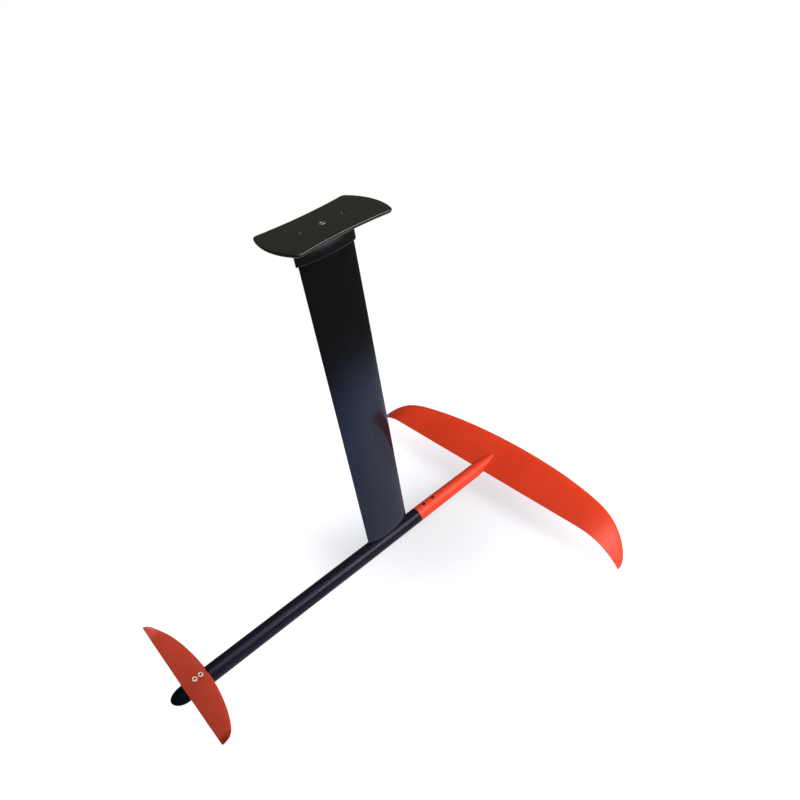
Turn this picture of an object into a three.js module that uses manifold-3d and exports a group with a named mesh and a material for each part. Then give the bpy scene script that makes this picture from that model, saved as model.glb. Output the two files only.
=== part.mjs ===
// Hydrofoil for a board: top plate, mast, fuselage, front wing and rear wing, bolted together.
// Millimetres. +X points forward to the front wing, +Y to port, +Z up the mast.
// Every piece is drawn with the plate's top face at z = 0 and the mast's centre screw at x = y = 0.
// The finished group is then lifted so that it stands on the front wing's tips, over its own centre.
import * as THREE from 'three';
import { mergeVertices } from 'three/addons/utils/BufferGeometryUtils.js';
import Module from 'manifold-3d';

const wasm = await Module();
wasm.setup();

// ---- Driving dimensions -------------------------------------------------------------------------
const GAP = 0.3; // clearance that every touching pair keeps
const ROUND = 20; // sides of a small round feature
const OVERCUT = 2; // how far a cutting tool runs past the face that it opens

const PLATE = {
  halfLength: 112, halfWaist: 60.5, thickness: 6, endRadius: 156, sideRadius: 630, cornerRadius: 10,
  topChamfer: 1, rimBottom: 3.4, underChamfer: 1.6,
};
const COLLAR = { floor: 6, bottom: -52, wall: 4.5, lip: 1, flare: 15, flareStart: -46 };
const MAST = {
  noseTop: 56.1, tailTop: -63.9, noseFoot: 54, tailFoot: -60.7, thickness: 16, edge: 0.6,
};
const FUSELAGE = {
  axis: -766.7, radius: 18.7, frontRadius: 18, taperStart: -64, front: 85, rear: -548,
  spigotRadius: 11, spigotEnd: 160, chamfer: 0.8, pocketFloor: 1.7, seat: 9.1, seatFront: -491.4,
};
const TAIL = { length: 31, topHeight: 13, rise: 2, plugRadius: 7, plugDrop: 5, plugLength: 18 };
const FRONT_WING = {
  nose: 419.3, tail: 296, halfSpan: 400, thickness: 14, tipThickness: 2.2, camber: 0.02,
  spanPower: 2.05, chordPower: 2.2, bendStart: 277.5, tipDrop: 58, bendPower: 2.85, edge: 0.4,
};
const STEM = {
  radius: 17.8, coneRadius: 16.6, coneStart: 284, taper: 0.102, noseStart: 355, coneEnd: 390,
  socketEnd: 163,
};
const REAR_WING = {
  nose: -492, tail: -547, halfSpan: 173, height: 13.7, thickness: 8.6, tipThickness: 1.6,
  camber: 0, spanPower: 1.8, chordPower: 2.1, dihedral: 13, dihedralPower: 1.4,
  tipStart: 0.83, tipRise: 15, tipPower: 2.1, edge: 0.35, padWidth: 30, bladeRatio: 0.11,
};

// Screws: head and shank radii, head height, length under the head, socket radius and depth.
const M8 = { head: 6.5, headHeight: 3.2, shank: 4, socket: 2.9, socketDepth: 2 };
const M8_CAP = { head: 6.5, headHeight: 8, shank: 4, socket: 3.5, socketDepth: 4 };
const M6 = { head: 5, headHeight: 2.4, shank: 3, socket: 2.3, socketDepth: 1.5 };
const M5 = { head: 4, headHeight: 2.2, shank: 2.5, socket: 1.75, socketDepth: 1.4 };
const M6_COUNTERSUNK = { head: 4.3, headHeight: 2, shank: 3, socket: 2.3, socketDepth: 3 };

const PLATE_SCREWS = [
  { place: 'front', x: 43.9, type: M6, headTop: -1.2, length: 32, sleeve: 3.9 },
  { place: 'centre', x: 0, type: M8, headTop: -0.3, length: 34, sleeve: 5.3 },
  { place: 'rear', x: -43.9, type: M6, headTop: -1.2, length: 32, sleeve: 3.9 },
];
const FOOT_SCREWS = [
  { place: 'front', x: 28 },
  { place: 'rear', x: -28 },
];
const FOOT = { headRecess: 9, washer: 1.2, washerRadius: 7, length: 30, sleeve: 5.3, sleeveLength: 20 };
const STEM_SCREWS = [
  { place: 'rear', x: 110.4 },
  { place: 'front', x: 139 },
];
const STEM_FIXING = { headTop: 16.6, length: 17.5, sleeve: 3.9, sleeveTop: 8.6, sleeveLength: 14 };
const REAR_SCREWS = [
  { place: 'front', x: -506.4 },
  { place: 'rear', x: -520.2 },
];
const REAR_FIXING = {
  recessFloor: 15.2, cupRadius: 5.6, cupHeight: 2.7, cupBore: 3.4, headTop: 18.1, length: 17,
  sleeve: 4.5, sleeveTop: 8.6, sleeveLength: 12,
};

const FINISH = {
  plate: { color: 0x2b2c2a, roughness: 0.45, metalness: 0.3 },
  gloss: { color: 0x15171c, roughness: 0.22, metalness: 0 },
  collar: { color: 0x1b1b1f, roughness: 0.35, metalness: 0 },
  orange: { color: 0xd84026, roughness: 0.35, metalness: 0 },
  cap: { color: 0x0b121a, roughness: 0.4, metalness: 0 },
  steel: { color: 0xb9bab4, roughness: 0.25, metalness: 1 },
};

// ---- Solids -------------------------------------------------------------------------------------

/** A closed BufferGeometry as a solid that can be joined and cut. */
function solidOf(geometry) {
  const bare = geometry.clone();
  bare.deleteAttribute('normal');
  bare.deleteAttribute('uv');
  const merged = mergeVertices(bare, 1e-4);
  const corners = merged.index.array;
  const kept = [];
  for (let i = 0; i < corners.length; i += 3) {
    const [a, b, c] = [corners[i], corners[i + 1], corners[i + 2]];
    if (a !== b && b !== c && c !== a) kept.push(a, b, c);
  }
  return new wasm.Manifold(new wasm.Mesh({
    numProp: 3,
    vertProperties: new Float32Array(merged.attributes.position.array),
    triVerts: new Uint32Array(kept),
  }));
}

/** A solid back as a geometry for a mesh. */
function geometryOf(solid) {
  const mesh = solid.getMesh();
  const geometry = new THREE.BufferGeometry();
  geometry.setAttribute('position', new THREE.BufferAttribute(mesh.vertProperties, 3));
  geometry.setIndex(new THREE.BufferAttribute(mesh.triVerts, 1));
  geometry.computeVertexNormals();
  return geometry;
}

/** Solid of revolution about +Z from [radius, z] pairs that climb and start and end on the axis. */
function turned(profile, sides = ROUND) {
  const points = profile.map(([radius, z]) => new THREE.Vector2(radius, z));
  return solidOf(new THREE.LatheGeometry(points, sides).rotateX(Math.PI / 2));
}

/** Upright round bar between two heights. */
function bar(radius, x, y, low, high, sides = ROUND) {
  return turned([[0, low], [radius, low], [radius, high], [0, high]], sides).translate([x, y, 0]);
}

/** Closed skin through rings of points, each ring with the same count, capped at both ends. */
function loft(rings) {
  const count = rings[0].length;
  const positions = rings.flat().flatMap((p) => [p.x, p.y, p.z]);
  const faces = [];
  for (let r = 0; r + 1 < rings.length; r += 1) {
    for (let i = 0; i < count; i += 1) {
      const next = (i + 1) % count;
      const [a, b] = [r * count + i, r * count + next];
      faces.push(a, b, b + count, a, b + count, a + count);
    }
  }
  for (const [ring, flip] of [[0, true], [rings.length - 1, false]]) {
    const middle = new THREE.Vector3();
    rings[ring].forEach((p) => middle.addScaledVector(p, 1 / count));
    const hub = positions.length / 3;
    positions.push(middle.x, middle.y, middle.z);
    for (let i = 0; i < count; i += 1) {
      const [a, b] = [ring * count + i, ring * count + (i + 1) % count];
      faces.push(...(flip ? [hub, b, a] : [hub, a, b]));
    }
  }
  const geometry = new THREE.BufferGeometry();
  geometry.setAttribute('position', new THREE.Float32BufferAttribute(positions, 3));
  geometry.setIndex(enclosedVolume(positions, faces) < 0 ? faces.reverse() : faces);
  return solidOf(geometry);
}

/** Signed volume inside a triangle skin: negative when its faces point inwards. */
function enclosedVolume(positions, faces) {
  const corner = (i) => new THREE.Vector3().fromArray(positions, 3 * faces[i]);
  let volume = 0;
  for (let i = 0; i < faces.length; i += 3) {
    volume += corner(i).dot(corner(i + 1).cross(corner(i + 2))) / 6;
  }
  return volume;
}

// ---- Foil sections ------------------------------------------------------------------------------

/** Half thickness of a strut section at chord fraction s, for a section 1 thick. */
function strutHalf(s) {
  const t = 1 - s;
  if (s < 0.5) return 0.98967 * Math.sqrt(s) - 0.23925 * s - 0.041 * s ** 2 - 0.5594 * s ** 3;
  return 0.01 + 2.325 * t - 3.42 * t ** 2 + 1.46 * t ** 3;
}

/** Half thickness of a wing section at chord fraction s, for a section 1 thick. */
function wingHalf(s) {
  return 5 * (0.2969 * Math.sqrt(s) - 0.126 * s - 0.3516 * s ** 2 + 0.2843 * s ** 3 - 0.1036 * s ** 4);
}

/** Points round a section: s along the chord from 0 at the nose, h across it in millimetres. */
function sectionPoints(half, thickness, edge, steps) {
  const side = [];
  for (let i = 0; i <= steps; i += 1) {
    const s = (1 - Math.cos((Math.PI * i) / steps)) / 2;
    side.push({ s, h: half(s) * thickness + edge * s });
  }
  const back = side.slice(1).reverse().map(({ s, h }) => ({ s, h: -h }));
  return [...side, ...back];
}

/** Ring of a strut section lying flat at height z, grown outwards all round and flared at its sides. */
function strutRing(nose, tail, z, grow, flare = 0) {
  const chord = nose - tail + 2 * grow;
  const thickness = MAST.thickness + 2 * grow;
  return sectionPoints(strutHalf, thickness, MAST.edge, 14).map(({ s, h }) => {
    const widening = flare * Math.sqrt(Math.sin(Math.PI * Math.min(Math.max(s, 0), 1)));
    return new THREE.Vector3(nose + grow - s * chord, h + Math.sign(h) * widening, z);
  });
}

/** The mast's nose and tail at a height z: the chord narrows evenly from head to foot. */
function mastRing(z, grow = 0) {
  const head = -PLATE.thickness - COLLAR.floor - 2 * GAP;
  const foot = FUSELAGE.axis + FUSELAGE.pocketFloor + GAP;
  const along = (head - z) / (head - foot);
  const nose = THREE.MathUtils.lerp(MAST.noseTop, MAST.noseFoot, along);
  const tail = THREE.MathUtils.lerp(MAST.tailTop, MAST.tailFoot, along);
  return strutRing(nose, tail, z, grow);
}

/** Height of the front wing's chord above the fuselage axis: flat, then drooping at the tips. */
function frontWingRise(span) {
  const past = Math.max(0, span - FRONT_WING.bendStart) / (FRONT_WING.halfSpan - FRONT_WING.bendStart);
  return -FRONT_WING.tipDrop * past ** FRONT_WING.bendPower;
}

/** Height of the rear wing's chord above the fuselage axis: shallow vee with upturned tips. */
function rearWingRise(span) {
  const reach = span / REAR_WING.halfSpan;
  const past = Math.max(0, reach - REAR_WING.tipStart) / (1 - REAR_WING.tipStart);
  return REAR_WING.height + REAR_WING.dihedral * reach ** REAR_WING.dihedralPower
    + REAR_WING.tipRise * past ** REAR_WING.tipPower;
}

/** Wing skin from tip to tip, each section square to the line that the wing bends along. */
function wing(size, riseAt, thicknessAt, stations, steps) {
  const rings = [];
  for (let i = -stations; i <= stations; i += 1) {
    const reach = Math.min(Math.sin((Math.abs(i) / stations) * (Math.PI / 2)), 0.9995);
    const span = reach * size.halfSpan;
    const side = Math.sign(i);
    const share = (1 - reach ** size.spanPower) ** (1 / size.chordPower);
    const chord = (size.nose - size.tail) * share;
    const slope = (riseAt(span + 0.5) - riseAt(Math.max(0, span - 0.5))) / (span < 0.5 ? 0.5 + span : 1);
    const lean = Math.atan(slope);
    rings.push(sectionPoints(wingHalf, thicknessAt(span, chord), size.edge, steps).map(({ s, h }) => {
      const out = h + 4 * size.camber * chord * s * (1 - s);
      return new THREE.Vector3(
        size.tail + chord * (1 - s),
        side * (span - out * Math.sin(lean)),
        FUSELAGE.axis + riseAt(span) + out * Math.cos(lean),
      );
    }));
  }
  return loft(rings);
}

// ---- Fasteners ----------------------------------------------------------------------------------

/** Screw hanging down from its head's top at z = 0, with a hexagon socket. */
function screw(type, length, countersunk = false) {
  const { head, headHeight, shank, socket, socketDepth } = type;
  const tip = shank * 0.25;
  const under = countersunk ? [[shank, -headHeight]] : [[shank, -headHeight], [head, -headHeight]];
  const rim = countersunk ? 0.3 : headHeight * 0.35;
  const body = turned([
    [0, -headHeight - length], [shank - tip, -headHeight - length], [shank, -headHeight - length + tip],
    ...under, [head, -rim], [head - 0.6, 0], [0, 0],
  ]);
  return body.subtract(bar(socket, 0, 0, -socketDepth, OVERCUT, 6));
}

/** Threaded sleeve standing on z = 0, open at both ends. */
function sleeve(outer, inner, length) {
  return bar(outer, 0, 0, 0, length).subtract(bar(inner, 0, 0, -OVERCUT, length + OVERCUT));
}

// ---- Top plate and mast head --------------------------------------------------------------------

/** Points of an arc, the first end included and the last one left for the next arc. */
function arcPoints(centre, radius, from, to, steps) {
  return Array.from({ length: steps }, (_, i) => {
    const angle = THREE.MathUtils.lerp(from, to, i / steps);
    return new THREE.Vector2(Math.cos(angle), Math.sin(angle)).multiplyScalar(radius).add(centre);
  });
}

/** Plate outline at height z: bowed ends, rounded corners and waisted sides, inset all round. */
function plateRing(z, inset) {
  const { halfLength, halfWaist, endRadius, sideRadius, cornerRadius } = PLATE;
  const end = new THREE.Vector2(halfLength - endRadius, 0);
  const side = new THREE.Vector2(0, halfWaist + sideRadius);
  // The corner's centre is where it touches the end's arc from inside and the side's from outside.
  const toSide = side.clone().sub(end);
  const [endReach, sideReach] = [endRadius - cornerRadius, sideRadius + cornerRadius];
  const along = (endReach ** 2 - sideReach ** 2 + toSide.lengthSq()) / (2 * toSide.length());
  const corner = end.clone().add(toSide.clone().setLength(along));
  const across = new THREE.Vector2(toSide.y, -toSide.x).setLength(Math.sqrt(endReach ** 2 - along ** 2));
  corner.add(across);
  const bow = corner.clone().sub(end).angle();
  const shoulder = side.clone().sub(corner).angle();
  const flank = corner.clone().sub(side).angle() - 2 * Math.PI;
  const quarter = [
    ...arcPoints(end, endRadius - inset, -bow, bow, 8),
    ...arcPoints(corner, cornerRadius - inset, bow, shoulder, 4),
    ...arcPoints(side, sideRadius + inset, flank, -Math.PI - flank, 8),
  ];
  const mirrored = new THREE.Vector2(-corner.x, corner.y);
  quarter.push(...arcPoints(mirrored, cornerRadius - inset, Math.PI - shoulder, Math.PI - bow, 4));
  const half = quarter.map((p) => new THREE.Vector3(p.x, p.y, z));
  return [...half, ...half.map((p) => new THREE.Vector3(-p.x, -p.y, z))];
}

function topPlate() {
  const { thickness, topChamfer, rimBottom, underChamfer } = PLATE;
  let plate = loft([
    plateRing(-thickness, underChamfer),
    plateRing(-rimBottom, 0),
    plateRing(-topChamfer, 0),
    plateRing(0, topChamfer),
  ]);
  for (const { x, type, headTop } of PLATE_SCREWS) {
    plate = plate.subtract(bar(type.shank + GAP, x, 0, -thickness - OVERCUT, OVERCUT));
    plate = plate.subtract(bar(type.head + 2 * GAP, x, 0, headTop - type.headHeight - GAP, OVERCUT));
  }
  return plate;
}

/** Socket under the plate: a floor that the screws pass through and a skirt, flared where it meets it. */
function mastCollar() {
  const top = -PLATE.thickness - GAP;
  const floor = top - COLLAR.floor;
  const { noseTop, tailTop } = MAST;
  const ring = (z, grow, flare) => strutRing(noseTop, tailTop, z, grow, flare);
  const flared = [0, 0.25, 0.5, 0.75, 1].map((f) => (
    ring(THREE.MathUtils.lerp(COLLAR.flareStart, top, f), COLLAR.wall, COLLAR.flare * f ** 2)
  ));
  let collar = loft([
    ring(COLLAR.bottom, COLLAR.wall - COLLAR.lip),
    ring(COLLAR.bottom + COLLAR.lip, COLLAR.wall),
    ...flared,
  ]);
  collar = collar.subtract(loft([ring(COLLAR.bottom - OVERCUT, GAP), ring(floor, GAP)]));
  for (const { x, type } of PLATE_SCREWS) {
    collar = collar.subtract(bar(type.shank + GAP, x, 0, floor - OVERCUT, top + OVERCUT));
  }
  return collar;
}

// ---- Mast ---------------------------------------------------------------------------------------

const MAST_HEAD = -PLATE.thickness - COLLAR.floor - 2 * GAP;
const MAST_FOOT = FUSELAGE.axis + FUSELAGE.pocketFloor + GAP;
const HEAD_SLEEVE_LENGTH = 18;
const HEAD_BORE_DEPTH = 30;
const SLEEVE_SINK = 1;

function mast() {
  const heights = [0, 0.25, 0.5, 0.75, 1].map((f) => THREE.MathUtils.lerp(MAST_HEAD, MAST_FOOT, f));
  let blade = loft(heights.map((z) => mastRing(z)));
  for (const { x, sleeve: radius } of PLATE_SCREWS) {
    blade = blade.subtract(bar(radius + GAP, x, 0, MAST_HEAD - HEAD_BORE_DEPTH, MAST_HEAD + OVERCUT));
  }
  for (const { x } of FOOT_SCREWS) {
    const end = MAST_FOOT + FOOT.sleeveLength + 3 * SLEEVE_SINK;
    blade = blade.subtract(bar(FOOT.sleeve + GAP, x, 0, MAST_FOOT - OVERCUT, end));
  }
  return blade;
}

// ---- Fuselage and tail cone ---------------------------------------------------------------------

/** Turns an upright solid so that its axis runs forward along the fuselage. */
function alongFuselage(solid) {
  return solid.rotate([0, 90, 0]).translate([0, 0, FUSELAGE.axis]);
}

function fuselage() {
  const { axis, radius, frontRadius, taperStart, front, rear } = FUSELAGE;
  const { spigotRadius, spigotEnd, chamfer, seat, seatFront } = FUSELAGE;
  let body = alongFuselage(turned([
    [0, rear], [radius, rear], [radius, taperStart], [frontRadius, front - chamfer / 2],
    [frontRadius - chamfer / 2, front], [spigotRadius, front], [spigotRadius, spigotEnd - 2 * chamfer],
    [spigotRadius - 2 * chamfer, spigotEnd], [0, spigotEnd],
  ], 36));
  const pocketFloor = axis + FUSELAGE.pocketFloor;
  const crown = axis + radius + OVERCUT;
  body = body.subtract(loft([mastRing(pocketFloor, GAP), mastRing(crown, GAP)]));
  for (const { x } of FOOT_SCREWS) {
    body = body.subtract(bar(M8_CAP.shank + GAP, x, 0, axis - radius - OVERCUT, pocketFloor + OVERCUT));
    body = body.subtract(bar(FOOT.washerRadius + GAP, x, 0, axis - radius - OVERCUT,
      axis - radius + FOOT.headRecess + FOOT.washer + GAP));
  }
  for (const { x } of STEM_SCREWS) {
    const bottom = STEM_FIXING.sleeveTop - STEM_FIXING.sleeveLength - SLEEVE_SINK;
    body = body.subtract(bar(STEM_FIXING.sleeve + GAP, x, 0, axis + bottom, crown));
  }
  const seatCut = new THREE.BoxGeometry(seatFront - rear + OVERCUT, 4 * radius, radius);
  seatCut.translate((seatFront + rear - OVERCUT) / 2, 0, axis + seat + radius / 2);
  body = body.subtract(solidOf(seatCut));
  for (const { x } of REAR_SCREWS) {
    const bottom = REAR_FIXING.sleeveTop - REAR_FIXING.sleeveLength - 5 * SLEEVE_SINK;
    body = body.subtract(bar(REAR_FIXING.sleeve + GAP, x, 0, axis + bottom, axis + seat + OVERCUT));
  }
  const plugHole = bar(TAIL.plugRadius + GAP, 0, 0, rear - OVERCUT, rear + TAIL.plugLength + SLEEVE_SINK);
  return body.subtract(alongFuselage(plugHole).translate([0, 0, -TAIL.plugDrop]));
}

/** Rounded end cap, flattened on top so that it stays under the rear wing's trailing edge. */
function tailCone() {
  const { axis, radius, rear } = FUSELAGE;
  const rings = [];
  for (const turn of [0, 0.16, 0.32, 0.48, 0.64, 0.78, 0.9, 0.98]) {
    const u = Math.sin((turn * Math.PI) / 2);
    const size = Math.cos((turn * Math.PI) / 2);
    const ring = [];
    for (let i = 0; i < 28; i += 1) {
      const angle = (i / 28) * Math.PI * 2;
      const height = Math.cos(angle) > 0 ? TAIL.topHeight : radius;
      ring.push(new THREE.Vector3(
        rear - GAP - TAIL.length * u,
        radius * size * Math.sin(angle),
        axis + TAIL.rise * u * u + height * size * Math.cos(angle),
      ));
    }
    rings.push(ring);
  }
  const plug = bar(TAIL.plugRadius, 0, 0, rear - OVERCUT, rear + TAIL.plugLength);
  return loft(rings).add(alongFuselage(plug).translate([0, 0, -TAIL.plugDrop]));
}

// ---- Wings --------------------------------------------------------------------------------------

/** Front wing moulded in one piece with the tubular stem that slides over the fuselage spigot. */
function frontWing() {
  const { axis, front, spigotRadius } = FUSELAGE;
  const { radius, coneRadius, coneStart, taper, noseStart, coneEnd, socketEnd } = STEM;
  const blade = wing(FRONT_WING, frontWingRise, (span) => {
    const reach = span / FRONT_WING.halfSpan;
    return THREE.MathUtils.lerp(FRONT_WING.thickness, FRONT_WING.tipThickness, reach ** 2);
  }, 14, 11);
  const cone = [0, 0.35, 0.6, 0.8, 0.93].map((f) => {
    const x = THREE.MathUtils.lerp(noseStart, coneEnd, f);
    return [(coneRadius - taper * (x - coneStart)) * Math.sqrt(1 - f * f), x];
  });
  let piece = alongFuselage(turned([
    [0, front + GAP], [radius, front + GAP], [coneRadius, coneStart], ...cone, [0, coneEnd],
  ], 32)).add(blade);
  piece = piece.subtract(alongFuselage(bar(spigotRadius + GAP, 0, 0, front - OVERCUT, socketEnd, 24)));
  for (const { x } of STEM_SCREWS) {
    const headFloor = axis + STEM_FIXING.headTop - M5.headHeight - GAP;
    piece = piece.subtract(bar(M5.shank + GAP, x, 0, axis, axis + radius + OVERCUT));
    piece = piece.subtract(bar(M5.head + GAP, x, 0, headFloor, axis + radius + OVERCUT));
  }
  return piece;
}

/** Rear wing: a small blade, thicker over the fuselage seat, recessed for its two cup washers. */
function rearWing() {
  const { axis } = FUSELAGE;
  let piece = wing(REAR_WING, rearWingRise, (span, chord) => {
    const pad = REAR_WING.thickness - REAR_WING.bladeRatio * (REAR_WING.nose - REAR_WING.tail);
    const blade = Math.max(REAR_WING.bladeRatio * chord, REAR_WING.tipThickness);
    return blade + pad * Math.exp(-((span / REAR_WING.padWidth) ** 2));
  }, 12, 9);
  for (const { x } of REAR_SCREWS) {
    piece = piece.subtract(bar(M6_COUNTERSUNK.shank + GAP, x, 0, axis, axis + FUSELAGE.radius));
    piece = piece.subtract(bar(REAR_FIXING.cupRadius + GAP, x, 0, axis + REAR_FIXING.recessFloor,
      axis + FUSELAGE.radius + OVERCUT));
  }
  return piece;
}

/** Dished washer that a countersunk head sits in. */
function cupWasher() {
  const { cupRadius, cupHeight, cupBore } = REAR_FIXING;
  const mouth = M6_COUNTERSUNK.head + GAP;
  const ring = turned([[0, 0], [cupRadius, 0], [cupRadius, cupHeight - 0.5], [mouth + 0.2, cupHeight],
    [0, cupHeight]]);
  return ring.subtract(turned([[0, -OVERCUT], [cupBore, -OVERCUT], [cupBore, 0.6], [mouth, 2.3],
    [mouth, cupHeight + OVERCUT], [0, cupHeight + OVERCUT]]));
}

// ---- Assembly -----------------------------------------------------------------------------------

const foil = new THREE.Group();

/** Adds one named piece, placed and turned as a whole. */
function place(name, solid, finish, position = [0, 0, 0], rotation = [0, 0, 0]) {
  const mesh = new THREE.Mesh(geometryOf(solid), new THREE.MeshStandardMaterial(FINISH[finish]));
  mesh.name = name;
  mesh.position.set(...position);
  mesh.rotation.set(...rotation);
  foil.add(mesh);
}

place('top_plate', topPlate(), 'plate');
place('mast_collar', mastCollar(), 'collar');
place('mast', mast(), 'gloss');
place('fuselage', fuselage(), 'gloss');
place('tail_cone', tailCone(), 'cap');
place('front_wing', frontWing(), 'orange');
place('rear_wing', rearWing(), 'orange');

for (const { place: where, x, type, headTop, length, sleeve: radius } of PLATE_SCREWS) {
  const foot = MAST_HEAD - SLEEVE_SINK - HEAD_SLEEVE_LENGTH;
  place(`plate_screw_${where}`, screw(type, length), 'steel', [x, 0, headTop]);
  place(`mast_head_insert_${where}`, sleeve(radius, type.shank + GAP, HEAD_SLEEVE_LENGTH), 'steel',
    [x, 0, foot]);
}

for (const { place: where, x } of FOOT_SCREWS) {
  const seat = FUSELAGE.axis - FUSELAGE.radius + FOOT.headRecess;
  place(`foot_screw_${where}`, screw(M8_CAP, FOOT.length), 'steel',
    [x, 0, seat - GAP - M8_CAP.headHeight], [Math.PI, 0, 0]);
  place(`foot_washer_${where}`, sleeve(FOOT.washerRadius, M8_CAP.shank + GAP, FOOT.washer), 'steel',
    [x, 0, seat]);
  place(`mast_foot_insert_${where}`, sleeve(FOOT.sleeve, M8_CAP.shank + GAP, FOOT.sleeveLength),
    'steel', [x, 0, MAST_FOOT + SLEEVE_SINK]);
}

for (const { place: where, x } of STEM_SCREWS) {
  const { headTop, length, sleeve: radius, sleeveTop, sleeveLength } = STEM_FIXING;
  place(`stem_screw_${where}`, screw(M5, length), 'steel', [x, 0, FUSELAGE.axis + headTop]);
  place(`stem_insert_${where}`, sleeve(radius, M5.shank + GAP, sleeveLength), 'steel',
    [x, 0, FUSELAGE.axis + sleeveTop - sleeveLength]);
}

for (const { place: where, x } of REAR_SCREWS) {
  const { recessFloor, headTop, length, sleeve: radius, sleeveTop, sleeveLength } = REAR_FIXING;
  place(`rear_wing_screw_${where}`, screw(M6_COUNTERSUNK, length, true), 'steel',
    [x, 0, FUSELAGE.axis + headTop]);
  place(`rear_wing_washer_${where}`, cupWasher(), 'steel', [x, 0, FUSELAGE.axis + recessFloor + GAP]);
  place(`rear_wing_insert_${where}`, sleeve(radius, M6_COUNTERSUNK.shank + GAP, sleeveLength), 'steel',
    [x, 0, FUSELAGE.axis + sleeveTop - sleeveLength]);
}

// Stand the foil on its lowest point, with the origin under the middle of its outer box.
const extent = new THREE.Box3().setFromObject(foil, true);
foil.position.set(-(extent.min.x + extent.max.x) / 2, 0, -extent.min.z);

export default foil;
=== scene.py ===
"""Looks of a hydrofoil: top plate, mast, fuselage, front wing and rear wing, bolted together.

Shapes are drawn in millimetres with the plate's top face at z = 0 and the mast's centre screw at
x = y = 0. +X runs forward to the front wing, +Y to port and +Z up the mast. settle() then scales
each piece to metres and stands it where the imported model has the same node.
"""
import math
import bmesh
import bpy
import numpy as np
from mathutils import Matrix, Vector


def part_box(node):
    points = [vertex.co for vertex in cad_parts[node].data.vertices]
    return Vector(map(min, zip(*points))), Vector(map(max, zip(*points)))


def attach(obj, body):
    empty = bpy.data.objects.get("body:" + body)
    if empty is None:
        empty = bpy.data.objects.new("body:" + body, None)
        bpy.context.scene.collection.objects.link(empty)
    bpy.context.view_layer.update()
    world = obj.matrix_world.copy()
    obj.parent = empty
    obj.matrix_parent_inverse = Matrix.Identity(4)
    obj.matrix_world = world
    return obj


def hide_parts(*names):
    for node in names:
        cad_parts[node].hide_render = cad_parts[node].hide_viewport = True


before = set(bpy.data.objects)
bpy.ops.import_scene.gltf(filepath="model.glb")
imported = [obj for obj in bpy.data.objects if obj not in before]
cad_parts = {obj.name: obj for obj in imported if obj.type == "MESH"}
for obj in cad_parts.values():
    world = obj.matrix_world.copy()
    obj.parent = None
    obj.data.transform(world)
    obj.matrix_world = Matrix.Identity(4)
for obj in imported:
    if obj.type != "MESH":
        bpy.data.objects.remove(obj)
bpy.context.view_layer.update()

scene = bpy.context.scene

# ---- Sizes, in millimetres ----------------------------------------------------------------------
MM = 0.001
GAP = 0.3
OVERCUT = 2.0
MERGE = 1e-4

PLATE = dict(half_length=112.0, half_waist=60.5, thickness=6.0, end_radius=156.0,
             side_radius=630.0, corner_radius=10.0, fillet=1.8, rim_bottom=-3.4, under=1.6)
COLLAR = dict(floor=6.0, bottom=-52.0, wall=4.5, lip=1.8, flare=15.0, flare_start=-46.0)
MAST = dict(nose_top=56.1, tail_top=-63.9, nose_foot=54.0, tail_foot=-60.7, thickness=16.0,
            edge=0.6)
AXIS = -766.7
FUSELAGE = dict(radius=18.7, front_radius=18.0, taper_start=-64.0, front=85.0, rear=-548.0,
                spigot=11.0, spigot_end=160.0, pocket=1.7, seat=9.1, seat_front=-491.4)
TAIL = dict(length=30.98, top=13.0, rise=2.0, plug=7.0, plug_drop=5.0, plug_length=18.0,
            plug_hole=19.0, plug_chamfer=0.7)
FRONT_WING = dict(nose=419.29, tail=296.0, half_span=400.0, camber=0.02, span_power=2.05,
                  chord_power=2.2, edge=0.4, bend_start=277.5, droop=58.0, thickness=(14.0, 2.2))
STEM = dict(radius=17.8, cone_radius=16.6, cone_start=284.0, taper=0.102, nose_start=355.0,
            cone_end=390.0, socket_end=163.0)
REAR_WING = dict(nose=-492.0, tail=-547.0, half_span=173.0, camber=0.0, span_power=1.8,
                 chord_power=2.1, edge=0.35, height=13.7, vee=13.0, tip_rise=15.0, tip_start=0.83,
                 root_swell=2.55, root_width=30.0)

# Screws: head and shank radii, head height, hexagon's corner radius and depth, thread pitch.
M8 = dict(head=6.5, height=3.2, shank=4.0, hex=2.9, depth=2.0, pitch=1.25)
M8_CAP = dict(head=6.5, height=8.0, shank=4.0, hex=3.5, depth=4.0, pitch=1.25)
M6 = dict(head=5.0, height=2.4, shank=3.0, hex=2.3, depth=1.5, pitch=1.0)
M5 = dict(head=4.0, height=2.2, shank=2.5, hex=1.75, depth=1.4, pitch=0.8)
M6_COUNTERSUNK = dict(head=4.3, height=2.0, shank=3.0, hex=2.3, depth=3.0, pitch=1.0)

# Screws in the plate: place, x, kind, top of the head, shank length, radius of the sleeve below.
PLATE_SCREWS = (("front", 43.9, M6, -1.2, 32.0, 3.9), ("centre", 0.0, M8, -0.3, 34.0, 5.3),
                ("rear", -43.9, M6, -1.2, 32.0, 3.9))
# The other screws: place and x.
FOOT_SCREWS = (("front", 28.0), ("rear", -28.0))
STEM_SCREWS = (("front", 139.0), ("rear", 110.4))
REAR_SCREWS = (("front", -506.4), ("rear", -520.2))

# What holds each joint. Levels are measured from the fuselage's axis, or from its belly at the foot.
HEAD_FIXING = dict(cover=1.0, sleeve_length=18.0, bore_depth=30.0)
FOOT_FIXING = dict(recess=9.0, washer=7.0, washer_bore=4.3, washer_height=1.2, length=30.0,
                   cover=1.0, sleeve=5.3, sleeve_length=20.0, bore_depth=23.0)
STEM_FIXING = dict(ledge=14.1, recess=4.3, bore=2.8, head_top=16.6, length=17.5, sleeve=3.9,
                   sleeve_base=-5.4, sleeve_length=14.0, hole_base=-6.4)
REAR_FIXING = dict(ledge=15.2, recess=5.9, bore=3.3, cup_base=15.5, head_top=18.1, length=17.0,
                   sleeve=4.5, sleeve_base=-3.4, sleeve_length=12.0, hole_base=-8.4)

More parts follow.
